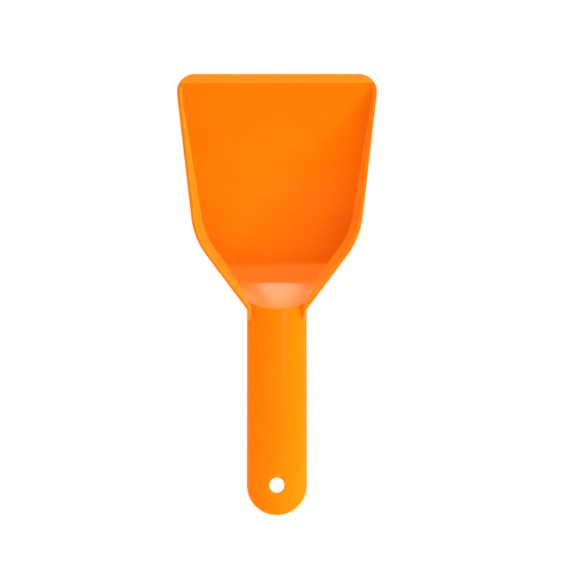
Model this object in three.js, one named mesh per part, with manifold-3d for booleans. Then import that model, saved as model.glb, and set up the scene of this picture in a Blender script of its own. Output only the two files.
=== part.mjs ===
// A one-piece moulded hand scoop: a shallow open-mouthed pan with leaning side walls, a ramp up to
// the neck, and a domed handle with a rounded tail and a hanging hole. The side walls run on under
// the ramp and along the handle as skirts, so the handle and ramp are open channels underneath.
// Millimetres. +Y points out of the mouth, +Z is up, and the origin is the centre of the flat
// underside that the scoop rests on.
import * as THREE from "three";
import { mergeVertices } from "three/addons/utils/BufferGeometryUtils.js";
import Module from "manifold-3d";

// ---- driving dimensions ----
const LENGTH = 200; // mouth edge to tail
const SHEET = 1.8; // thickness of the floor, ramp and dome
const WALL = 1.6; // thickness of the side walls and skirts, seen as the flat top of the rim
const RIM_HEIGHT = 17.5; // highest part of the side walls
const CROWN_HEIGHT = 18; // ridge of the handle's dome
const FLOOR_LENGTH = 86; // flat floor, mouth edge to the foot of the ramp
const WALL_LEAN = THREE.MathUtils.degToRad(12); // side walls lean outwards

const MOUTH_Y = FLOOR_LENGTH / 2;
const RAMP_Y = MOUTH_Y - FLOOR_LENGTH;
const TAIL_Y = MOUTH_Y - LENGTH;

// Half plan of the rim: mouth, then shoulder, then neck.
const MOUTH_HALF_WIDTH = 46.75;
const SHOULDER = { x: 37.85, y: MOUTH_Y - 74.8 };
const NECK = { x: 13.55, y: MOUTH_Y - 107 };
const MOUTH_CORNER_RADIUS = 7.8;
const SHOULDER_RADIUS = 39;

// The mouth edge is bevelled on top, down to a thin lip.
const LIP_LENGTH = 4.1;
const LIP_THICKNESS = 0.8;
const RIM_START = 0.2; // the rim already stands this much over the floor where the bevel ends
const RIM_BEND = 14; // the rim line rounds over this far to each side of the shoulder

// The ramp climbs in two slopes, and reaches the crown at the neck.
const LOWER_SLOPE = THREE.MathUtils.degToRad(29);
const LOWER_RUN = 8.6;
const TURN = { y: RAMP_Y - LOWER_RUN, z: SHEET + LOWER_RUN * Math.tan(LOWER_SLOPE) };
const UPPER_SLOPE = Math.atan2(CROWN_HEIGHT - TURN.z, TURN.y - NECK.y);

// Handle: a cylindrical dome over two skirts.
const TAIL_RADIUS = 13.7;
const TAIL_CENTRE_Y = TAIL_Y + TAIL_RADIUS;
const DOME_SAGITTA = 4;
const DOME_RADIUS = (TAIL_RADIUS ** 2 + DOME_SAGITTA ** 2) / (2 * DOME_SAGITTA);
const DOME_AXIS_Z = CROWN_HEIGHT - DOME_RADIUS;
const HOLE_RADIUS = 3.35;
const HANDLE_START_Y = RAMP_Y - 12; // inside the ramp's thickness

// The lower edge of the walls sweeps up from the floor to the bottom of the skirts.
const SWEEP_START_Y = RAMP_Y - 1;
const SWEEP_END_Y = NECK.y - 3;
const SKIRT_BOTTOM_Z = 6.5;

// The rim runs on past the neck as two short horns that sink into the handle's edges.
const HORN_LENGTH = 6.5;
const HORN_FLAT = 0.6; // level part of the horn before it slopes down
const HORN_END_Z = CROWN_HEIGHT - DOME_SAGITTA - 0.3;

const FAR = 60; // past every side of the part, for cutting tools
const OVERLAP = 2; // how far solids that are joined run into each other
const ARC_SEGMENTS = 8;
const BEND_SEGMENTS = 7;
const DOME_SEGMENTS = 40;
const HOLE_SEGMENTS = 48;

const wasm = await Module();
wasm.setup();

// ---- solids from three.js geometry ----

function solid(geometry) {
  const bare = geometry.clone();
  bare.deleteAttribute("normal");
  bare.deleteAttribute("uv");
  const merged = mergeVertices(bare, 1e-4);
  return new wasm.Manifold(
    new wasm.Mesh({
      numProp: 3,
      vertProperties: new Float32Array(merged.attributes.position.array),
      triVerts: new Uint32Array(merged.index.array),
    }),
  );
}

function geometryOf(manifold) {
  const mesh = manifold.getMesh();
  const geometry = new THREE.BufferGeometry();
  geometry.setAttribute("position", new THREE.BufferAttribute(new Float32Array(mesh.vertProperties), 3));
  geometry.setIndex(new THREE.BufferAttribute(new Uint32Array(mesh.triVerts), 1));
  geometry.computeVertexNormals();
  return geometry;
}

function extrude(shape, depth, curveSegments = ARC_SEGMENTS) {
  return new THREE.ExtrudeGeometry(shape, { depth, bevelEnabled: false, curveSegments });
}

// A shape drawn in plan (x, y), standing on z = low.
function inPlan(shape, low, high) {
  return solid(extrude(shape, high - low).translate(0, 0, low));
}

// A shape drawn as a side view (y, z), running right across the part.
function acrossWidth(points) {
  const yzToWorld = new THREE.Matrix4().set(0, 0, 1, -FAR, 1, 0, 0, 0, 0, 1, 0, 0, 0, 0, 0, 1);
  return solid(extrude(new THREE.Shape(points), 2 * FAR).applyMatrix4(yzToWorld));
}

// Everything between two heights.
function slab(low, high) {
  return solid(new THREE.BoxGeometry(2 * FAR, 3 * LENGTH, high - low).translate(0, 0, (low + high) / 2));
}

// A closed body ruled between two outlines of equally many points, anticlockwise, at two heights.
function loft(lowOutline, lowZ, highOutline, highZ) {
  const count = lowOutline.length;
  const points = [...lowOutline.map((p) => [p.x, p.y, lowZ]), ...highOutline.map((p) => [p.x, p.y, highZ])];
  const faces = [];
  for (let i = 0; i < count; i++) {
    const next = (i + 1) % count;
    faces.push(i, next, count + next, i, count + next, count + i);
  }
  for (const [a, b, c] of THREE.ShapeUtils.triangulateShape(lowOutline, [])) faces.push(a, c, b);
  for (const [a, b, c] of THREE.ShapeUtils.triangulateShape(highOutline, [])) {
    faces.push(count + a, count + b, count + c);
  }
  const geometry = new THREE.BufferGeometry();
  geometry.setAttribute("position", new THREE.Float32BufferAttribute(points.flat(), 3));
  geometry.setIndex(faces);
  return solid(geometry);
}

// ---- plans ----

const vec = (x, y) => new THREE.Vector2(x, y);

// Where the line through a along u meets the line through b along v.
const meet = (a, u, b, v) => a.clone().addScaledVector(u, v.cross(b.clone().sub(a)) / v.cross(u));

// An arc that rounds the corner between the lines from a and to b, as points.
function roundedCorner(a, corner, b, radius) {
  const toA = a.clone().sub(corner).normalize();
  const toB = b.clone().sub(corner).normalize();
  const half = toA.angleTo(toB) / 2;
  const start = corner.clone().addScaledVector(toA, radius / Math.tan(half));
  const centre = corner.clone().addScaledVector(toA.clone().add(toB).normalize(), radius / Math.sin(half));
  const turn = (Math.PI - 2 * half) * Math.sign(toB.cross(toA));
  const arc = [];
  for (let i = 0; i <= ARC_SEGMENTS; i++) {
    arc.push(start.clone().rotateAround(centre, (turn * i) / ARC_SEGMENTS));
  }
  return arc;
}

const wallRun = (height) => height * Math.tan(WALL_LEAN);

// The pan's plan `inset` inside the rim at full height, running on past the mouth and past the neck.
function panOutline(inset, pastMouth, pastNeck) {
  const mouth = vec(MOUTH_HALF_WIDTH + wallRun(RIM_HEIGHT - SHEET), MOUTH_Y);
  const shoulder = vec(SHOULDER.x, SHOULDER.y);
  const neck = vec(NECK.x, NECK.y);
  const side = mouth.clone().sub(shoulder).normalize();
  const taper = shoulder.clone().sub(neck).normalize();
  const inwards = (line) => vec(-line.y, line.x).multiplyScalar(inset);
  const onSide = shoulder.clone().add(inwards(side));
  const onTaper = shoulder.clone().add(inwards(taper));
  const across = vec(1, 0);
  const neckAt = meet(onTaper, taper, vec(0, NECK.y - pastNeck), across);
  const shoulderAt = meet(onTaper, taper, onSide, side);
  const mouthAt = meet(onSide, side, vec(0, MOUTH_Y + pastMouth), across);
  const rightHalf = [
    neckAt,
    ...roundedCorner(neckAt, shoulderAt, mouthAt, SHOULDER_RADIUS),
    ...roundedCorner(shoulderAt, mouthAt, vec(0, mouthAt.y), MOUTH_CORNER_RADIUS),
  ];
  return [...rightHalf, ...rightHalf.map((p) => vec(-p.x, p.y)).reverse()];
}

// The handle's plan, `inset` inside its outer edge, from inside the ramp to the rounded tail.
function handlePlan(inset) {
  const shape = new THREE.Shape();
  shape.moveTo(NECK.x - inset, HANDLE_START_Y);
  shape.lineTo(-NECK.x + inset, HANDLE_START_Y);
  shape.absarc(0, TAIL_CENTRE_Y, TAIL_RADIUS - inset, Math.PI, 2 * Math.PI, false);
  return shape;
}

// ---- side views, as lines from the mouth backwards ----

// The rim climbs from the lip to the shoulder, rounds over, and stays level to the neck.
function rimLine() {
  const foot = vec(MOUTH_Y - LIP_LENGTH, SHEET + RIM_START);
  const knee = vec(SHOULDER.y, RIM_HEIGHT);
  const before = knee.clone().lerp(foot, RIM_BEND / knee.distanceTo(foot));
  const after = vec(knee.x - RIM_BEND, RIM_HEIGHT);
  const bend = new THREE.QuadraticBezierCurve(before, knee, after).getPoints(BEND_SEGMENTS);
  return [vec(MOUTH_Y, LIP_THICKNESS), foot, ...bend];
}

// The lower edge of the floor, walls and skirts.
function lowerEdge() {
  const third = (SWEEP_START_Y - SWEEP_END_Y) / 3;
  const sweep = new THREE.CubicBezierCurve(
    vec(SWEEP_START_Y, 0),
    vec(SWEEP_START_Y - third, 0),
    vec(SWEEP_END_Y + third, SKIRT_BOTTOM_Z),
    vec(SWEEP_END_Y, SKIRT_BOTTOM_Z),
  );
  return [vec(MOUTH_Y, 0), ...sweep.getPoints(ARC_SEGMENTS), vec(TAIL_Y - OVERLAP, SKIRT_BOTTOM_Z)];
}

// The floor and ramp, lowered square to each slope by `drop`. The ramp runs on up past the crown.
function sheetLine(drop) {
  const uphill = (angle) => vec(-Math.cos(angle), Math.sin(angle));
  const lowered = (y, z, angle) => vec(y - drop * Math.sin(angle), z - drop * Math.cos(angle));
  const onLower = lowered(RAMP_Y, SHEET, LOWER_SLOPE);
  const onUpper = lowered(TURN.y, TURN.z, UPPER_SLOPE);
  const floor = vec(MOUTH_Y + OVERLAP, SHEET - drop);
  const turn = meet(onLower, uphill(LOWER_SLOPE), onUpper, uphill(UPPER_SLOPE));
  return [
    floor,
    meet(floor, vec(1, 0), onLower, uphill(LOWER_SLOPE)),
    turn,
    turn.clone().addScaledVector(uphill(UPPER_SLOPE), FAR),
  ];
}

// ---- regions ----

// Between the faces of the leaning walls, `inset` inside their outer faces.
function betweenWalls(inset, pastMouth) {
  const low = panOutline(inset + wallRun(RIM_HEIGHT + SHEET), pastMouth, OVERLAP);
  const high = panOutline(inset - wallRun(SHEET), pastMouth, OVERLAP);
  return loft(low, -SHEET, high, RIM_HEIGHT + SHEET);
}

// Everything below the dome, lowered by `drop`.
function belowDome(drop) {
  const radius = DOME_RADIUS - drop;
  const shape = new THREE.Shape();
  shape.moveTo(-radius, -FAR);
  shape.lineTo(radius, -FAR);
  shape.absarc(0, DOME_AXIS_Z, radius, 0, Math.PI, false);
  return solid(extrude(shape, 2 * LENGTH, DOME_SEGMENTS).rotateX(Math.PI / 2).translate(0, LENGTH, 0));
}

// Everything below the floor, ramp and dome, lowered by `drop`.
function belowSheet(drop) {
  const line = sheetLine(drop);
  const [floor, , turn, top] = line;
  const behind = TAIL_Y - OVERLAP;
  const belowRamp = acrossWidth([...line, vec(behind, top.y), vec(behind, -FAR), vec(floor.x, -FAR)]);
  return belowRamp.intersect(slab(-FAR, turn.y).add(belowDome(drop)));
}

// The outside of the whole moulding, not yet hollowed.
function block() {
  const profile = [
    ...rimLine(),
    vec(HANDLE_START_Y, RIM_HEIGHT),
    vec(HANDLE_START_Y, CROWN_HEIGHT + OVERLAP),
    vec(TAIL_Y - OVERLAP, CROWN_HEIGHT + OVERLAP),
    ...lowerEdge().reverse(),
  ];
  return betweenWalls(0, 0).add(inPlan(handlePlan(0), 0, FAR)).intersect(acrossWidth(profile));
}

// The two horns: strips as wide as the rim, sloping down behind the neck.
function horns() {
  const strips = inPlan(handlePlan(-OVERLAP), 0, FAR).subtract(inPlan(handlePlan(WALL), -1, FAR + 1));
  const end = NECK.y - HORN_LENGTH;
  const profile = [
    vec(NECK.y + OVERLAP, 0),
    vec(NECK.y + OVERLAP, RIM_HEIGHT),
    vec(NECK.y - HORN_FLAT, RIM_HEIGHT),
    vec(end, HORN_END_Z),
    vec(end, 0),
  ];
  return strips.intersect(acrossWidth(profile));
}

// All the air above the floor, ramp and dome: inside the walls, and everywhere behind the neck.
function airAbove() {
  const start = NECK.y - HORN_FLAT / 2;
  const behindNeck = solid(new THREE.BoxGeometry(FAR, LENGTH, FAR).translate(0, start - LENGTH / 2, FAR / 2));
  return betweenWalls(WALL, MOUTH_CORNER_RADIUS)
    .add(behindNeck)
    .subtract(horns())
    .add(slab(RIM_HEIGHT, FAR))
    .subtract(belowSheet(0));
}

// The open channel under the ramp and the handle, between the skirts.
function channel() {
  const inside = betweenWalls(WALL, MOUTH_CORNER_RADIUS).add(inPlan(handlePlan(WALL), -1, FAR));
  return inside.intersect(belowSheet(SHEET));
}

function hangingHole() {
  const drill = new THREE.CylinderGeometry(HOLE_RADIUS, HOLE_RADIUS, 2 * FAR, HOLE_SEGMENTS);
  return solid(drill.rotateX(Math.PI / 2).translate(0, TAIL_CENTRE_Y, 0));
}

const orangePlastic = new THREE.MeshStandardMaterial({ color: 0xff7a05, roughness: 0.28, metalness: 0 });
const moulding = block().subtract(airAbove()).subtract(channel()).subtract(hangingHole());
const scoopMoulding = new THREE.Mesh(geometryOf(moulding), orangePlastic);
scoopMoulding.name = "scoop_moulding";

const group = new THREE.Group();
group.add(scoopMoulding);

export default group;
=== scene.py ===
"""The finished look of the one-piece hand scoop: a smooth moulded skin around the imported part.

The skin is one closed mesh of quads, built as a half and mirrored. Rounded sections stand at
stations along the edge of the scoop, from the middle of the mouth, round the corner, along the
side and the handle, to the tip of the tail. Two grids close the top and the underside between
the sections, and a ring of quads leads each of them into the hanging hole.
All shape code works in millimetres in the part's own frame.
"""

import math

import bmesh
import bpy
import numpy as np
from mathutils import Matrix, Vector


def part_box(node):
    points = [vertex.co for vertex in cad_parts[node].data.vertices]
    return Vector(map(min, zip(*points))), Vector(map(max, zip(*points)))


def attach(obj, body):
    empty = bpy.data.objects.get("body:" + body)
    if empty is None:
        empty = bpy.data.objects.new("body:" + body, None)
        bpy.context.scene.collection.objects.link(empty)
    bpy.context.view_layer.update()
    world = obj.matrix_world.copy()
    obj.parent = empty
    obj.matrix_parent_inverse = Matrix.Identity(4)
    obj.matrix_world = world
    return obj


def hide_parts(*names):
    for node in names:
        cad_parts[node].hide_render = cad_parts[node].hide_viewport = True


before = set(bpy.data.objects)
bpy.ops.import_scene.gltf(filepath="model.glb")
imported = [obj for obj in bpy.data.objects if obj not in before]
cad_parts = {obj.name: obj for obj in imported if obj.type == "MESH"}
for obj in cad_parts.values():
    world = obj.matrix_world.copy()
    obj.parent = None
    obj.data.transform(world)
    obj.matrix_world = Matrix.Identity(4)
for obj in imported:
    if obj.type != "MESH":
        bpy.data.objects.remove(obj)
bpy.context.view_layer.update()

MM = 0.001
NODE = "scoop_moulding"

# ---- driving dimensions, from the frame ----
low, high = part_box(NODE)
MOUTH_Y = high.y / MM
TAIL_Y = low.y / MM
CROWN = high.z / MM

# ---- the moulding's own sizes ----
SHEET = 1.8  # floor, ramp and dome
WALL = 1.6  # side walls and skirts
RIM_HEIGHT = CROWN - 0.5
LEAN = math.tan(math.radians(12))  # side walls, outwards
SKIRT_LEAN = math.tan(math.radians(1.5))

# Half plan of the rim: mouth, then shoulder, then neck.
SHOULDER = (37.85, MOUTH_Y - 74.8)
NECK = (13.55, MOUTH_Y - 107)
MOUTH_HALF_WIDTH = 46.75
CORNER_RADIUS = 7.8
SHOULDER_RADIUS = 39

# The mouth edge is bevelled on top, down to a thin lip.
LIP_LENGTH = 4.1
LIP_END_Y = MOUTH_Y - LIP_LENGTH
LIP_THICKNESS = 0.8
BEVEL_END = 5  # the bevel's plane is left out further than this behind the lip
RIM_START = 0.2  # the rim already stands this much over the floor where the bevel ends
RIM_BEND = 14  # the rim line rounds over this far to each side of the shoulder

# The ramp climbs in two slopes, and reaches the crown at the neck.
RAMP_Y = -MOUTH_Y
LOWER_SLOPE = math.radians(29)
LOWER_RUN = 8.6
TURN_Y = RAMP_Y - LOWER_RUN
TURN_Z = SHEET + LOWER_RUN * math.tan(LOWER_SLOPE)
UPPER_SLOPE = math.atan2(CROWN - TURN_Z, TURN_Y - NECK[1])

# Handle: a cylindrical dome over two skirts.
TAIL_RADIUS = 13.7
HOLE_Y = TAIL_Y + TAIL_RADIUS
HOLE_RADIUS = 3.35
DOME_SAGITTA = 4
DOME_RADIUS = (TAIL_RADIUS**2 + DOME_SAGITTA**2) / (2 * DOME_SAGITTA)
DOME_AXIS_Z = CROWN - DOME_RADIUS
DOME_EDGE_Z = CROWN - DOME_SAGITTA
DOME_LOW_Z = TURN_Z + 1  # the dome counts no lower than this, which keeps it out of the pan

# The lower edge of the walls sweeps up from the floor to the bottom of the skirts.
SWEEP_START_Y = RAMP_Y - 1
SWEEP_END_Y = NECK[1] - 3
SKIRT_BOTTOM_Z = 6.5

# The rim runs on past the neck as two short horns that sink into the handle's edges.
HORN_LENGTH = 6.5
HORN_FLAT = 0.6  # level part of the horn before it slopes down
HORN_END_Z = DOME_EDGE_Z - 0.3

# ---- edge radii and blends ----
FOOT_RADIUS = 0.7  # where a wall meets the floor
RIM_INNER_RADIUS = 0.4
RIM_OUTER_RADIUS = 0.45
DOME_EDGE_RADIUS = 1.0
FLOOR_EDGE_RADIUS = 0.9  # underside to outer wall
SKIRT_EDGE_RADIUS = 0.5
SKIRT_EDGE_START = 10  # the floor's edge radius turns into the skirt's over this length
CEILING_RADIUS = 0.8
HOLE_EDGE_RADIUS = 0.45
RAMP_FOOT_BLEND = 0.5
RAMP_TURN_BLEND = 0.12
RAMP_TOP_BLEND = 0.5
UPPER_BOW = 0.05  # change of the upper slope, as rise over run, from its middle to its ends
CROWN_RADIUS = 150  # of the upper slope, across the scoop
CROWN_START = 3  # the crown grows in over about this length behind the turn
LIP_BLEND = 0.25
NECK_BLEND = 0.4
HORN_BLEND = 0.4

# ---- how finely the skin is divided ----
FRONT_STATIONS = 20  # from the middle of the mouth to the corner
CORNER_STATIONS = 16
TAIL_STATIONS = 24
RING_START_Y = HOLE_Y + 15  # where the grids end and the ring round the hole begins
RING_STATIONS = 10
CURVE_STEPS = [3, 7, 3, 12, 3, 7, 3]  # quads along each curve of a section, from floor to ceiling
FILLET_STEPS = [5, 4, 5, 5, 4, 5]  # quads round each corner between two curves
HOLE_STEPS = 10  # quads from the ring's boundary to the hole
HOLE_CROWDING = 1.4  # over 1, so that these quads get narrower towards the hole
HOLE_EDGE_STEPS = 4
RIM_PASSES = 6  # passes for a corner's height and place to settle together
FOOT_PASSES = 8
SPREAD = 1.0  # keeps a section's points apart where a wall has no height
SPREAD_HEIGHT = 2.0  # walls lower than this are spread
MARGIN = 1.4  # from the foot of a wall to the edge of the grids
NEAR_CORNER = 0.1  # share of a curve that gives its direction at a corner
LEAST_TRIM = 0.12  # millimetres that a rounding takes from a curve, at least
MOST_TRIM = 0.42  # share of a curve that a rounding takes, at most
SEAM_GAP = 0.002  # points of two grids that are this close are one point


# ---- small helpers ----


def smooth_max(a, b, blend):
    """The larger of two heights, with the valley between them rounded over `blend`."""
    overlap = np.clip(blend - np.abs(a - b), 0, None) / blend
    return np.maximum(a, b) + overlap**2 * blend / 4


def smooth_min(a, b, blend):
    return -smooth_max(-a, -b, blend)


def smooth_step(t):
    t = np.clip(t, 0, 1)
    return t * t * (3 - 2 * t)


def mix(a, b, t):
    return a + (b - a) * t


def unit(vector):
    return vector / np.maximum(np.hypot(*vector), 1e-9)


def arc_x(centre_x, centre_y, radius, y):
    """How far out a circle stands at y."""
    return centre_x + np.sqrt(np.clip(radius**2 - (y - centre_y) ** 2, 0, None))


# ---- heights ----


def lip_bevel(y):
    return LIP_THICKNESS + (MOUTH_Y - y) * (SHEET + RIM_START - LIP_THICKNESS) / LIP_LENGTH


def rim_height(y):
    """The lip's bevel, then the straight climb, then level from the shoulder on."""
    slope = (RIM_HEIGHT - SHEET - RIM_START) / (LIP_END_Y - SHOULDER[1])
    along = y - (SHOULDER[1] - RIM_BEND)
    bend = np.clip(along, 0, 2 * RIM_BEND)
    climb = RIM_HEIGHT - slope * (bend**2 / (4 * RIM_BEND) + np.clip(along - 2 * RIM_BEND, 0, None))
    horn_top = NECK[1] - HORN_FLAT
    horn_slope = (RIM_HEIGHT - HORN_END_Z) / (HORN_LENGTH - HORN_FLAT)
    horn = RIM_HEIGHT - horn_slope * np.clip(horn_top - y, 0, None)
    return np.minimum(np.where(y > LIP_END_Y, lip_bevel(y), climb), horn)


def dome_height(x, drop=0.0):
    radius = DOME_RADIUS - drop
    return DOME_AXIS_Z + np.sqrt(np.clip(radius**2 - x**2, 0, None))


def upper_slope_bulge(x, y):
    """The upper slope bows out between the turn and the neck, and crowns over to meet the dome."""
    behind = np.clip(TURN_Y - y, 0, TURN_Y - NECK[1])
    bow = UPPER_BOW * behind * (1 - behind / (TURN_Y - NECK[1]))
    crown = x**2 / (2 * CROWN_RADIUS) * (1 - np.exp(-behind / CROWN_START))
    return bow - crown


def ramp_height(x, y, drop=0.0):
    """Floor, lower slope and upper slope, each lowered square to itself by `drop`."""
    floor = SHEET - drop + 0 * y
    lower = SHEET + (RAMP_Y - y) * math.tan(LOWER_SLOPE) - drop / math.cos(LOWER_SLOPE)
    upper = TURN_Z + (TURN_Y - y) * math.tan(UPPER_SLOPE) - drop / math.cos(UPPER_SLOPE)
    upper = upper + upper_slope_bulge(x, y)
    climbing = smooth_max(floor, lower, RAMP_FOOT_BLEND)
    return smooth_max(climbing, upper, RAMP_TURN_BLEND)


def top_height(x, y):
    """The floor, ramp and dome, cut down by the bevel at the lip."""
    dome = np.maximum(dome_height(x), DOME_LOW_Z)
    sheet = smooth_min(ramp_height(x, y), dome, RAMP_TOP_BLEND)
    return np.where(y > LIP_END_Y - BEVEL_END, smooth_min(sheet, lip_bevel(y), LIP_BLEND), sheet)


def under_height(x, y):
    """The underside of the same sheet."""
    dome = np.maximum(dome_height(x, SHEET), DOME_LOW_Z - SHEET)
    return smooth_min(ramp_height(x, y, SHEET), dome, RAMP_TOP_BLEND)


def cap_height(x, y):
    """The top of a wall: the rim, or behind the neck whichever is higher of horn and dome."""
    rim = rim_height(y)
    behind = smooth_max(rim, dome_height(x), HORN_BLEND)
    return np.where(y < TURN_Y, behind, rim)


def lower_edge(y):
    """The lower edge of the walls, sweeping up from the floor to the skirts."""
    return SKIRT_BOTTOM_Z * smooth_step((SWEEP_START_Y - y) / (SWEEP_START_Y - SWEEP_END_Y))


# ---- the pan's outline at full rim height, as lines and circles that inset together ----


class PanOutline:
    """Half of the pan's plan: a corner circle, a side line, a shoulder circle and a taper line.

    `side` and `taper` are the lines' angles off +Y.
    """

    def __init__(self):
        spread = LEAN * (RIM_HEIGHT - SHEET)
        self.mouth = (MOUTH_HALF_WIDTH + spread, MOUTH_Y)
        self.side = math.atan2(self.mouth[0] - SHOULDER[0], self.mouth[1] - SHOULDER[1])
        self.taper = math.atan2(SHOULDER[0] - NECK[0], SHOULDER[1] - NECK[1])
        lip_run = LEAN * (RIM_HEIGHT - LIP_THICKNESS / 2)
        self.corner_radius = CORNER_RADIUS + lip_run
        self.corner_y = MOUTH_Y - CORNER_RADIUS
        self.corner_x = self.side_x(self.corner_y, self.corner_radius)
        self.shoulder_x, self.shoulder_y = self.shoulder_centre()

    def side_x(self, y, inset):
        return self.mouth[0] + (y - self.mouth[1]) * math.tan(self.side) - inset / math.cos(self.side)

    def taper_x(self, y, inset):
        return NECK[0] + (y - NECK[1]) * math.tan(self.taper) - inset / math.cos(self.taper)

    def shoulder_centre(self):
        gap = self.taper_x(0, SHOULDER_RADIUS) - self.side_x(0, SHOULDER_RADIUS)
        y = -gap / (math.tan(self.taper) - math.tan(self.side))
        return self.side_x(y, SHOULDER_RADIUS), y

    def half_width(self, y, inset):
        """Half width at y of the outline moved inwards by `inset`."""
        corner = self.corner_radius - inset
        shoulder = SHOULDER_RADIUS - inset
        corner_start = self.corner_y - corner * math.sin(self.side)
        shoulder_start = self.shoulder_y - shoulder * math.sin(self.side)
        shoulder_end = self.shoulder_y - shoulder * math.sin(self.taper)
        corner_arc = arc_x(self.corner_x, self.corner_y, corner, y)
        shoulder_arc = arc_x(self.shoulder_x, self.shoulder_y, shoulder, y)
        width = np.where(y > shoulder_end, shoulder_arc, self.taper_x(y, inset))
        width = np.where(y > shoulder_start, self.side_x(y, inset), width)
        return np.where(y > corner_start, corner_arc, width)


PAN = PanOutline()


def handle_half_width(y):
    along = np.clip((NECK[1] - y) / (NECK[1] - HOLE_Y), 0, 1)
    return NECK[0] + (TAIL_RADIUS - NECK[0]) * along


# ---- stations ----


class Stations:
    """Places where a section stands: each has a starting point and a direction outwards, in plan."""

    def __init__(self):
        front = np.linspace(0, 1, FRONT_STATIONS + 1)[:-1]
        corner = np.radians(np.linspace(90, 0, CORNER_STATIONS + 1))[:-1]
        self.side_y = side_rows()
        tail = np.radians(np.linspace(0, 90, TAIL_STATIONS + 1))[1:]
        counts = [len(front), len(corner), len(self.side_y), len(tail)]
        self.kind = np.repeat(["corner", "corner", "side", "tail"], counts)
        mouth_x = np.concatenate([front * PAN.corner_x, np.full(counts[1], PAN.corner_x)])
        mouth_y = np.full(len(mouth_x), PAN.corner_y)
        self.x0 = np.concatenate([mouth_x, np.zeros(sum(counts[2:]))])
        self.y0 = np.concatenate([mouth_y, self.side_y, np.full(counts[3], HOLE_Y)])
        self.dx = np.concatenate([np.zeros(counts[0]), np.cos(corner), np.ones(counts[2]), np.cos(tail)])
        self.dy = np.concatenate([np.ones(counts[0]), np.sin(corner), np.zeros(counts[2]), -np.sin(tail)])
        # The grids' corner is half way round the mouth corner.
        self.columns = counts[0] + counts[1] // 2
        self.rows = int(np.sum(self.side_y >= RING_START_Y - 1e-6)) + counts[1] // 2

    def place(self, out):
        return self.x0 + self.dx * out, self.y0 + self.dy * out

    def reach(self, z, inset):
        """How far out a wall's face stands at height z, `inset` inside its outer face."""
        pan_inset = LEAN * (RIM_HEIGHT - z) + inset
        skirt_inset = SKIRT_LEAN * np.clip(DOME_EDGE_Z - z, 0, None) + inset
        corner = PAN.corner_radius - pan_inset
        pan = PAN.half_width(self.y0, pan_inset)
        handle = handle_half_width(self.y0) - skirt_inset
        side = smooth_max(pan, handle, NECK_BLEND)
        tail = TAIL_RADIUS - skirt_inset
        return np.select([self.kind == "corner", self.kind == "side"], [corner, side], tail)


def side_rows():
    """Where the stations stand along the side, closer together where the shape turns.

    Each stretch has its start, its end and the spacing of its stations.
    """
    stretches = [
        (PAN.corner_y, SHOULDER[1] + 14, 2.2),
        (SHOULDER[1] + 14, RAMP_Y + 3, 1.0),
        (RAMP_Y + 3, NECK[1] + 6, 0.4),
        (NECK[1] + 6, NECK[1] - HORN_LENGTH - 1.5, 0.25),
        (NECK[1] - HORN_LENGTH - 1.5, RING_START_Y, 2.0),
    ]
    rows = [np.array([PAN.corner_y])]
    for start, end, spacing in stretches:
        steps = math.ceil((start - end) / spacing)
        rows.append(np.linspace(start, end, steps + 1)[1:])
    rows.append(np.linspace(RING_START_Y, HOLE_Y, RING_STATIONS + 1)[1:])
    return np.concatenate(rows)


# ---- one rounded section at every station ----


def section_corners(at):
    """The six sharp corners of the section, from the floor round to the ceiling.

    Each is (out, z). The foot and the ceiling also give how far they are spread from the wall.
    """
    z_outer = RIM_HEIGHT + 0 * at.y0
    z_inner = z_outer.copy()
    for _ in range(RIM_PASSES):
        z_outer = cap_height(*at.place(at.reach(z_outer, 0)))
        z_inner = cap_height(*at.place(at.reach(z_inner, WALL)))
    outer = at.reach(z_outer, 0)
    inner = at.reach(z_inner, WALL)
    z_foot = z_inner.copy()
    for _ in range(FOOT_PASSES):
        spread = SPREAD * (1 - smooth_step((z_inner - z_foot) / SPREAD_HEIGHT))
        foot = at.reach(z_foot, WALL) - spread
        z_foot = top_height(*at.place(foot))
    z_low = lower_edge(at.place(at.reach(0 * z_foot, 0))[1])
    z_ceiling = z_low.copy()
    for _ in range(FOOT_PASSES):
        low_spread = SPREAD * (1 - smooth_step((z_ceiling - z_low) / SPREAD_HEIGHT))
        ceiling = at.reach(z_ceiling, WALL) - low_spread
        z_ceiling = under_height(*at.place(ceiling))
    return {
        "foot": (foot, z_foot, spread),
        "inner": (inner, z_inner),
        "outer": (outer, z_outer),
        "low": (at.reach(z_low, 0), z_low),
        "low_inner": (at.reach(z_low, WALL), z_low),
        "ceiling": (ceiling, z_ceiling, low_spread),
    }


def section_curves(at):
    """The curves between the corners. Each takes s from 0 to 1 at every station and gives (out, z)."""
    c = section_corners(at)
    foot, z_foot, spread = c["foot"]
    ceiling, z_ceiling, low_spread = c["ceiling"]
    inner, z_inner = c["inner"]
    outer, z_outer = c["outer"]
    low, z_low = c["low"]
    low_inner, _ = c["low_inner"]
    edge = np.minimum(foot, ceiling) - MARGIN

    def on_top(s):
        out = mix(edge, foot, s)
        return out, top_height(*at.place(out))

    def inner_wall(s):
        z = mix(z_foot, z_inner, s)
        return at.reach(z, WALL) - spread * (1 - s), z

    def rim(s):
        out = mix(inner, outer, s)
        return out, cap_height(*at.place(out))

    def outer_wall(s):
        z = mix(z_outer, z_low, s)
        return at.reach(z, 0), z

    def bottom_edge(s):
        return mix(low, low_inner, s), z_low + 0 * s

    def skirt_inside(s):
        z = mix(z_low, z_ceiling, s)
        return at.reach(z, WALL) - low_spread * s, z

    def under(s):
        out = mix(ceiling, edge, s)
        return out, under_height(*at.place(out))

    return [on_top, inner_wall, rim, outer_wall, bottom_edge, skirt_inside, under]


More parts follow.
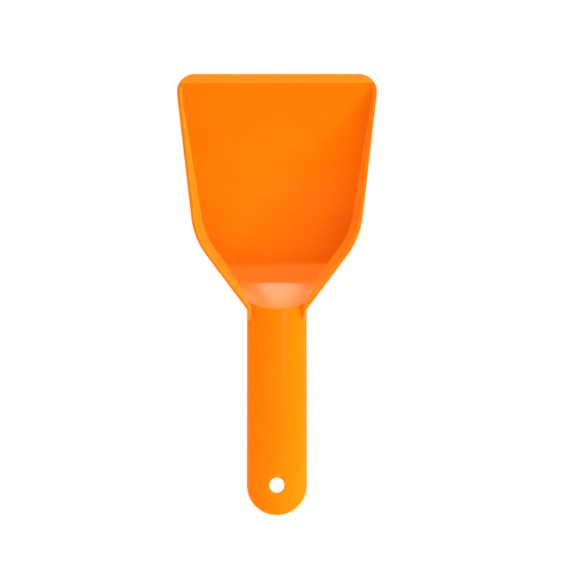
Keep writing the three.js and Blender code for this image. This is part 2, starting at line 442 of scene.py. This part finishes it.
def fillet_radii(at):
    """The radius at each of the six corners, at every station."""
    on_handle = smooth_step((NECK[1] - at.y0) / HORN_LENGTH)
    on_skirt = smooth_step((SWEEP_START_Y - at.y0) / SKIRT_EDGE_START)
    ones = np.ones_like(at.y0)
    return [
        FOOT_RADIUS * ones,
        RIM_INNER_RADIUS * ones,
        mix(RIM_OUTER_RADIUS, DOME_EDGE_RADIUS, on_handle),
        mix(FLOOR_EDGE_RADIUS, SKIRT_EDGE_RADIUS, on_skirt),
        SKIRT_EDGE_RADIUS * ones,
        CEILING_RADIUS * ones,
    ]


def curve_length(curve, n):
    """The length of a curve at each of the n stations, near enough in eight straight pieces."""
    s = np.linspace(0, 1, 9)
    points = np.array([curve(np.full(n, value)) for value in s])
    return np.sum(np.hypot(*np.moveaxis(np.diff(points, axis=0), 1, 0)), axis=0)


def fillet_trims(at, curves):
    """The shares of each curve that the roundings take at its start and end, and the turns between."""
    n = len(at.y0)
    lengths = [curve_length(curve, n) for curve in curves]
    start_trim = [np.zeros(n) for _ in curves]
    end_trim = [np.zeros(n) for _ in curves]
    turns = []
    for i, radius in enumerate(fillet_radii(at)):
        before, after = curves[i], curves[i + 1]
        corner = np.array(after(np.zeros(n)))
        arriving = unit(corner - np.array(before(np.full(n, 1 - NEAR_CORNER))))
        leaving = unit(np.array(after(np.full(n, NEAR_CORNER))) - corner)
        turn = np.arccos(np.clip(np.sum(arriving * leaving, axis=0), -1, 1))
        trim = np.maximum(radius * np.tan(turn / 2), LEAST_TRIM)
        trim = np.minimum(trim, MOST_TRIM * np.minimum(lengths[i], lengths[i + 1]))
        end_trim[i] = trim / lengths[i]
        start_trim[i + 1] = trim / lengths[i + 1]
        turns.append(turn)
    return start_trim, end_trim, turns


def sections():
    """The stations, and every section's rounded points as an array of (points, stations, xyz)."""
    at = Stations()
    curves = section_curves(at)
    start_trim, end_trim, turns = fillet_trims(at, curves)
    points = []
    for i, curve in enumerate(curves):
        first, last = start_trim[i], 1 - end_trim[i]
        for step in range(CURVE_STEPS[i] + 1):
            points.append(np.array(curve(first + (last - first) * step / CURVE_STEPS[i])))
        if i < len(turns):
            corner = np.array(curves[i + 1](np.zeros(len(at.y0))))
            beyond = np.array(curves[i + 1](start_trim[i + 1]))
            points.extend(round_corner(points[-1], corner, beyond, turns[i], FILLET_STEPS[i]))
    points = np.array(points)
    out, z = points[:, 0], points[:, 1]
    return at, np.stack([at.x0 + at.dx * out, at.y0 + at.dy * out, z], axis=-1)


def round_corner(a, corner, b, turn, steps):
    """The points strictly between a and b of the circular arc that rounds a corner."""
    weight = np.cos(turn / 2)
    arc = []
    for step in range(1, steps):
        t = step / steps
        wa, wc, wb = (1 - t) ** 2, 2 * t * (1 - t) * weight, t * t
        arc.append((wa * a + wc * corner + wb * b) / (wa + wc + wb))
    return arc


# ---- the grids between the sections ----


def interior(edge, columns, rows, height):
    """A grid from the middle line to the sections' edge. `edge` is (stations, 3), mouth first."""
    front = edge[: columns + 1]
    side = edge[columns : columns + rows]
    corner_rows = np.sum(side[:, 1] > PAN.corner_y - 1e-6)
    fade = (1 - np.clip(np.arange(rows) / corner_rows, 0, 1)) ** 2
    x = side[:, None, 0] * (front[None, :, 0] / front[-1, 0])
    y = side[:, None, 1] + (front[None, :, 1] - front[-1, 1]) * fade[:, None]
    return np.stack([x, y, height(x, y)], axis=-1)


def hole_ring(boundary, height):
    """Quads from the boundary (points, 3) in to the rounded edge of the hanging hole."""
    angle = np.arctan2(boundary[:, 1] - HOLE_Y, boundary[:, 0])
    rim = HOLE_RADIUS + HOLE_EDGE_RADIUS
    t = (np.linspace(0, 1, HOLE_STEPS + 1) ** HOLE_CROWDING)[:, None]
    x = mix(rim * np.cos(angle), boundary[:, 0], t)
    y = mix(HOLE_Y + rim * np.sin(angle), boundary[:, 1], t)
    return np.stack([x, y, height(x, y)], axis=-1)


def hole_wall(top_ring, under_ring):
    """The inside of the hanging hole, rounded into the dome above and below."""
    angle = np.arctan2(top_ring[:, 1] - HOLE_Y, top_ring[:, 0])
    quarter = np.linspace(0, math.pi / 2, HOLE_EDGE_STEPS + 1)[1:]

    def loop(turn, z, upwards):
        radius = HOLE_RADIUS + HOLE_EDGE_RADIUS * (1 - math.sin(turn))
        lift = upwards * HOLE_EDGE_RADIUS * (1 - math.cos(turn))
        return np.stack([radius * np.cos(angle), HOLE_Y + radius * np.sin(angle), z + lift], axis=-1)

    below_top = [loop(turn, top_ring[:, 2], -1) for turn in quarter]
    above_under = [loop(turn, under_ring[:, 2], 1) for turn in quarter[::-1]]
    return np.array([top_ring, *below_top, *above_under, under_ring])


def grid_quads(shape, first):
    """Corner numbers of a grid's quads, for vertices numbered row by row from `first`."""
    rows, columns = shape
    number = first + np.arange(rows * columns).reshape(rows, columns)
    corners = [number[:-1, :-1], number[:-1, 1:], number[1:, 1:], number[1:, :-1]]
    return np.stack(corners, axis=-1).reshape(-1, 4)


def moulding_grids():
    """The grids of points that make up one half: sections, top, underside, and round the hole."""
    at, skin = sections()
    edge = skin[0]
    columns, rows = at.columns, at.rows
    top = interior(edge, columns, rows, top_height)
    under = interior(edge, columns, rows, under_height)
    last = columns + rows - 1
    boundary = np.concatenate([top[-1], edge[last + 1 :]])
    top_ring = hole_ring(boundary, top_height)
    under_ring = hole_ring(boundary, under_height)
    wall = hole_wall(top_ring[0], under_ring[0])
    return [skin, top, under[:, ::-1], top_ring[:, ::-1], under_ring, wall]


def moulding_mesh(name):
    """All grids and their mirror images as one closed mesh, with smooth shading."""
    vertices = []
    quads = []
    count = 0
    for grid in moulding_grids():
        for side in (1, -1):
            points = grid.reshape(-1, 3) * (side, 1, 1) * MM
            faces = grid_quads(grid.shape[:2], count)
            vertices.append(points)
            quads.append(faces if side > 0 else faces[:, ::-1])
            count += len(points)
    mesh = bpy.data.meshes.new(name)
    mesh.from_pydata(np.concatenate(vertices).tolist(), [], np.concatenate(quads).tolist())
    close_seams(mesh)
    mesh.shade_smooth()
    return mesh


def close_seams(mesh):
    """Joins the grids where they meet, and turns every face outwards."""
    work = bmesh.new()
    work.from_mesh(mesh)
    bmesh.ops.remove_doubles(work, verts=work.verts, dist=SEAM_GAP * MM)
    bmesh.ops.recalc_face_normals(work, faces=work.faces)
    work.to_mesh(mesh)
    work.free()


# ---- materials ----


class Nodes:
    """Adds shader nodes to a material or world and joins them up."""

    def __init__(self, owner):
        owner.use_nodes = True
        self.tree = owner.node_tree

    def find(self, name):
        return self.tree.nodes[name]

    def add(self, kind, **inputs):
        node = self.tree.nodes.new(kind)
        for name, value in inputs.items():
            self.plug(value, node.inputs[name.replace("_", " ")])
        return node

    def plug(self, value, socket):
        if isinstance(value, bpy.types.NodeSocket):
            self.tree.links.new(value, socket)
        else:
            socket.default_value = value

    def math(self, operation, a, b):
        node = self.tree.nodes.new("ShaderNodeMath")
        node.operation = operation
        self.plug(a, node.inputs[0])
        self.plug(b, node.inputs[1])
        return node.outputs[0]

    def remap(self, value, low_in, high_in, low_out, high_out):
        node = self.add("ShaderNodeMapRange", Value=value)
        node.interpolation_type = "SMOOTHSTEP"
        node.inputs["From Min"].default_value = low_in
        node.inputs["From Max"].default_value = high_in
        node.inputs["To Min"].default_value = low_out
        node.inputs["To Max"].default_value = high_out
        return node.outputs["Result"]

    def noise(self, position, feature, detail=2.0, stretch=(1, 1, 1)):
        """Smooth noise with features about `feature` metres across."""
        scaled = self.tree.nodes.new("ShaderNodeVectorMath")
        scaled.operation = "MULTIPLY"
        self.plug(position, scaled.inputs[0])
        scaled.inputs[1].default_value = stretch
        node = self.add("ShaderNodeTexNoise", Vector=scaled.outputs[0], Scale=1 / feature, Detail=detail)
        return node.outputs["Fac"]


ORANGE = (0.95, 0.17, 0.001)
PALE_ORANGE = (1.0, 0.28, 0.016)  # worn edges mixed with a painted edge highlight, mottling, and the painted glow on the lip and inner walls
GLOSS = 0.11  # roughness of clean plastic
REFRACTION = 1.46
MILKINESS = 0.3
LIGHT_DEPTH = 1.2 * MM  # how far light spreads inside the plastic
LIGHT_SPREAD = (1.0, 0.5, 0.1)  # of red, green and blue, as shares of that
MOTTLE_SIZE = 14 * MM
MOTTLE = 0.05
# pale tint on convex edges: partly wear, partly a painted highlight along the rims and edges
EDGE_WEAR_AND_HIGHLIGHT = 0.6
SMUDGE_SIZE = 22 * MM
SMUDGE = 0.06
PEEL_SIZE = 1.2 * MM  # the faint ripple of a moulded surface
PEEL_DEPTH = 0.002 * MM
SCRATCH_WIDTH = 0.25 * MM
SCRATCH_DEPTH = 0.002 * MM
SCRATCH_SHAPE = (1, 0.02, 1)  # fifty times as long as wide, along the scoop
SCRATCH_ROUGHNESS = 0.08
LIP_PAINTED_GLOW = 0.68  # painted glow: how much paler the thin lip is painted, as if lit through from the bright table under it
WALL_PAINTED_GLOW = 0.5  # painted glow: the same for the inside of the leaning walls


def painted_glow(n, position):
    """Painted glow: high on the front lip and the inside of the pan's walls, painted paler as if lit
    through from the table.
    """
    normal = n.add("ShaderNodeSeparateXYZ", Vector=n.add("ShaderNodeNewGeometry").outputs["Normal"])
    place = n.add("ShaderNodeSeparateXYZ", Vector=position)
    lip_y = LIP_END_Y * MM
    lip = n.remap(place.outputs["Y"], lip_y - 0.2 * MM, lip_y + 0.2 * MM, 0, LIP_PAINTED_GLOW)
    level = n.math("MULTIPLY", normal.outputs["Z"], normal.outputs["Z"])
    upright = n.remap(level, 0.1, 0.95, WALL_PAINTED_GLOW, 0)
    # The product of x and the normal's x is above 0 where a face looks away from the middle.
    outwards = n.math("MULTIPLY", place.outputs["X"], normal.outputs["X"])
    inside = n.remap(outwards, 0, 3 * MM, 1, 0)
    pan = n.remap(place.outputs["Y"], (NECK[1] - 4) * MM, NECK[1] * MM, 0, 1)
    walls = n.math("MULTIPLY", n.math("MULTIPLY", upright, inside), pan)
    return n.math("MAXIMUM", walls, lip)


def orange_plastic():
    """Glossy polypropylene: slightly milky, with moulding texture, mottling, light use marks, edge wear
    mixed with a painted edge highlight, and a painted glow on the lip and inner walls.
    """
    material = bpy.data.materials.new("scoop_plastic")
    n = Nodes(material)
    position = n.add("ShaderNodeTexCoord").outputs["Object"]
    shader = n.find("Principled BSDF")

    mottle = n.noise(position, MOTTLE_SIZE, detail=3)
    edges = n.add("ShaderNodeNewGeometry").outputs["Pointiness"]  # 0.5 where flat, more on an edge
    # Convex edges are painted paler: partly wear, partly a painted highlight.
    wear_and_highlight = n.remap(edges, 0.505, 0.56, 0.0, EDGE_WEAR_AND_HIGHLIGHT)
    tint = n.math("ADD", wear_and_highlight, n.remap(mottle, 0.3, 0.7, 0.0, MOTTLE))
    # Painted glow: the lip and the inside of the walls are painted paler, as if lit through from the
    # table.
    tint = n.math("MAXIMUM", tint, painted_glow(n, position))
    colour = n.add("ShaderNodeMix")
    colour.data_type = "RGBA"
    n.plug(tint, colour.inputs["Factor"])
    n.plug((*ORANGE, 1), colour.inputs["A"])
    n.plug((*PALE_ORANGE, 1), colour.inputs["B"])
    n.plug(colour.outputs["Result"], shader.inputs["Base Color"])

    smudges = n.remap(n.noise(position, SMUDGE_SIZE, detail=4), 0.45, 0.75, 0.0, SMUDGE)
    scuffs = n.noise(position, SCRATCH_WIDTH, detail=1, stretch=SCRATCH_SHAPE)
    scratches = n.remap(scuffs, 0.66, 0.76, 0.0, 1.0)
    roughness = n.math("ADD", GLOSS, smudges)
    scratched = n.math("MULTIPLY", scratches, SCRATCH_ROUGHNESS)
    n.plug(n.math("ADD", roughness, scratched), shader.inputs["Roughness"])

    peel = n.math("MULTIPLY", n.noise(position, PEEL_SIZE, detail=1), PEEL_DEPTH)
    relief = n.math("SUBTRACT", peel, n.math("MULTIPLY", scratches, SCRATCH_DEPTH))
    bump = n.add("ShaderNodeBump", Height=relief, Distance=1.0, Strength=1.0)
    n.plug(bump.outputs["Normal"], shader.inputs["Normal"])

    shader.inputs["IOR"].default_value = REFRACTION
    shader.inputs["Subsurface Weight"].default_value = MILKINESS
    shader.inputs["Subsurface Radius"].default_value = LIGHT_SPREAD
    shader.inputs["Subsurface Scale"].default_value = LIGHT_DEPTH
    return material


FIBRE_SIZE = 3 * MM
FIBRE_SHADES = (0.9, 0.92)
TABLE_GLOW = 0.25
CONTACT_REACH = 15 * MM  # the table is shaded where the scoop is nearer than this
CONTACT_SHADE = 0.45  # brightness right under the scoop


def white_paper():
    """The table: matte white, faintly lit from below as a light table is.

    The camera sees it exposed to plain white, shaded only where the scoop all but covers it.
    """
    material = bpy.data.materials.new("white_paper")
    n = Nodes(material)
    shader = n.find("Principled BSDF")
    position = n.add("ShaderNodeTexCoord").outputs["Object"]
    fibre = n.remap(n.noise(position, FIBRE_SIZE, detail=3), 0.3, 0.7, *FIBRE_SHADES)
    n.plug(fibre, shader.inputs["Base Color"])
    shader.inputs["Roughness"].default_value = 0.9
    shader.inputs["Specular IOR Level"].default_value = 0.1
    shader.inputs["Emission Color"].default_value = (1, 1, 1, 1)
    shader.inputs["Emission Strength"].default_value = TABLE_GLOW
    openness = n.add("ShaderNodeAmbientOcclusion", Distance=CONTACT_REACH).outputs["AO"]
    white = n.add("ShaderNodeEmission", Strength=n.remap(openness, 0.0, 0.5, CONTACT_SHADE, 1.0))
    seen = n.add("ShaderNodeMixShader", Fac=n.add("ShaderNodeLightPath").outputs["Is Camera Ray"])
    n.plug(shader.outputs["BSDF"], seen.inputs[1])
    n.plug(white.outputs["Emission"], seen.inputs[2])
    n.plug(seen.outputs["Shader"], n.find("Material Output").inputs["Surface"])
    return material


# ---- stage ----

# Metres. The lights aim at one place, and the camera looks straight down at another.
TABLE_HALF_WIDTH = 6.0
AIM = (0, -0.03, 0)
RAMP_REACH = 1.245  # just past the ramp, so that the handle mirrors none of its lights
VIEW_CENTRE = (0.0050, -0.05407)
VIEW_HEIGHT = 0.2609  # of the picture, measured on the scoop
LENS = 1000  # millimetres, as is the sensor
SENSOR = 36

# The studio's walls. Their foot and top are sines of elevations, between which they fade in or out.
WALL_LIGHT = 1.35  # as they light the scene
WALL_SHEEN = 0.4  # as the gloss mirrors them
BACKDROP = 1.0  # as the camera sees the studio
WALL_FOOT = (-0.05, 0.02)
WALL_TOP = (0.4, 0.65)


def table():
    h = TABLE_HALF_WIDTH
    mesh = bpy.data.meshes.new("studio_table")
    mesh.from_pydata([(-h, -h, 0), (h, -h, 0), (h, h, 0), (-h, h, 0)], [], [(0, 1, 2, 3)])
    mesh.materials.append(white_paper())
    plane = bpy.data.objects.new("studio_table", mesh)
    bpy.context.scene.collection.objects.link(plane)


def softbox(
    name, azimuth, elevation, distance, width, height, brightness, mirrored=False, along=0.0, reach=None
):
    """A soft light aimed at the scoop. Azimuth turns from +X to +Y; brightness 1 looks pure white.

    Only a `mirrored` light shows in the plastic's gloss, and it may be "round". The others are
    hidden from the gloss, as a polarising filter would do. `along` moves the light in Y without
    turning it, and `reach` is how far its light goes.
    """
    around, up = math.radians(azimuth), math.radians(elevation)
    direction = Vector((math.cos(around) * math.cos(up), math.sin(around) * math.cos(up), math.sin(up)))
    light = bpy.data.lights.new(name, "AREA")
    light.shape = "ELLIPSE" if mirrored == "round" else "RECTANGLE"
    light.size = width
    light.size_y = height
    light.energy = math.pi * width * height * brightness
    lamp = bpy.data.objects.new(name, light)
    lamp.location = Vector(AIM) + direction * distance + Vector((0, along, 0))
    lamp.rotation_euler = (-direction).to_track_quat("-Z", "Y").to_euler()
    lamp.visible_glossy = bool(mirrored)
    lamp.visible_camera = False
    if reach:
        n = Nodes(light)
        near = n.math("LESS_THAN", n.add("ShaderNodeLightPath").outputs["Ray Length"], reach)
        n.plug(near, n.find("Emission").inputs["Strength"])
    bpy.context.scene.collection.objects.link(lamp)


def lights():
    """The first eight light the scoop unseen, and the last six are what its gloss mirrors."""
    softbox("key", -23, 22, 1.2, 0.24, 0.16, 65)
    softbox("right_low", 18, 9, 1.2, 0.5, 0.16, 25)
    softbox("left_low", 115, 9, 1.2, 0.5, 0.16, 7)
    softbox("fill_handle", 270, 35, 0.5, 0.3, 0.2, 8.6)
    softbox("fill_handle_right", 305, 32, 0.5, 0.25, 0.2, 7.5, along=-0.06)
    softbox("front_low", 90, 10, 1.2, 0.6, 0.2, 7)
    softbox("front_mid", 90, 26, 2.4, 1.2, 0.6, 11.5)
    softbox("ramp_fill", 90, 90, 0.08, 0.06, 0.06, 0.8)
    softbox("ramp_glow", 89, 2, 1.2, 0.17, 0.24, 3.7, mirrored="round", reach=RAMP_REACH)
    softbox("ramp_glow_right", 81, 4, 1.2, 0.035, 0.12, 8, mirrored=True, reach=RAMP_REACH)
    softbox("ramp_glow_left", 97.4, 4, 1.2, 0.09, 0.12, 5.9, mirrored=True, reach=RAMP_REACH)
    softbox("handle_stripe", 0, 74.6, 1.0, 0.2, 0.05, 4, mirrored=True, along=0.06)
    softbox("sheen_left", 141, 25, 1.2, 0.14, 0.16, 1.0, mirrored=True)
    softbox("sheen_right", -48, 16, 1.2, 0.24, 0.24, 1.0, mirrored=True)


def room():
    """A studio with white walls and a dark ceiling, so that flat faces seen from above stay dark.

    The gloss sees the walls dimmer than they light the scene, again as through a polarising filter.
    """
    world = bpy.data.worlds.new("studio")
    bpy.context.scene.world = world
    n = Nodes(world)
    direction = n.add("ShaderNodeSeparateXYZ", Vector=n.add("ShaderNodeTexCoord").outputs["Generated"])
    height = direction.outputs["Z"]
    walls = n.math("MULTIPLY", n.remap(height, *WALL_FOOT, 0, 1), n.remap(height, *WALL_TOP, 1, 0))
    ray = n.add("ShaderNodeLightPath").outputs
    seen = n.math("MULTIPLY", ray["Is Camera Ray"], BACKDROP)
    dimming = n.math("MULTIPLY", ray["Is Glossy Ray"], WALL_LIGHT - WALL_SHEEN)
    brightness = n.math("SUBTRACT", WALL_LIGHT, dimming)
    strength = n.math("MAXIMUM", n.math("MULTIPLY", walls, brightness), seen)
    background = n.find("Background")
    background.inputs["Color"].default_value = (1, 1, 1, 1)
    n.plug(strength, background.inputs["Strength"])


def camera():
    """Straight down from far away, as in the photograph."""
    lens = bpy.data.cameras.new("camera")
    lens.lens = LENS
    lens.sensor_width = SENSOR
    lens.clip_end = 100
    view = bpy.data.objects.new("camera", lens)
    distance = VIEW_HEIGHT * LENS / SENSOR
    view.location = (*VIEW_CENTRE, distance + CROWN / 2 * MM)
    bpy.context.scene.collection.objects.link(view)
    bpy.context.scene.camera = view


def main():
    """The scoop in place of its CAD solid, then the studio round it."""
    scoop = bpy.data.objects.new("scoop", moulding_mesh("scoop"))
    bpy.context.scene.collection.objects.link(scoop)
    scoop.data.materials.append(orange_plastic())
    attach(scoop, "root")
    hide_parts(NODE)
    table()
    lights()
    room()
    camera()
    bpy.context.scene.view_settings.view_transform = "Standard"


main()
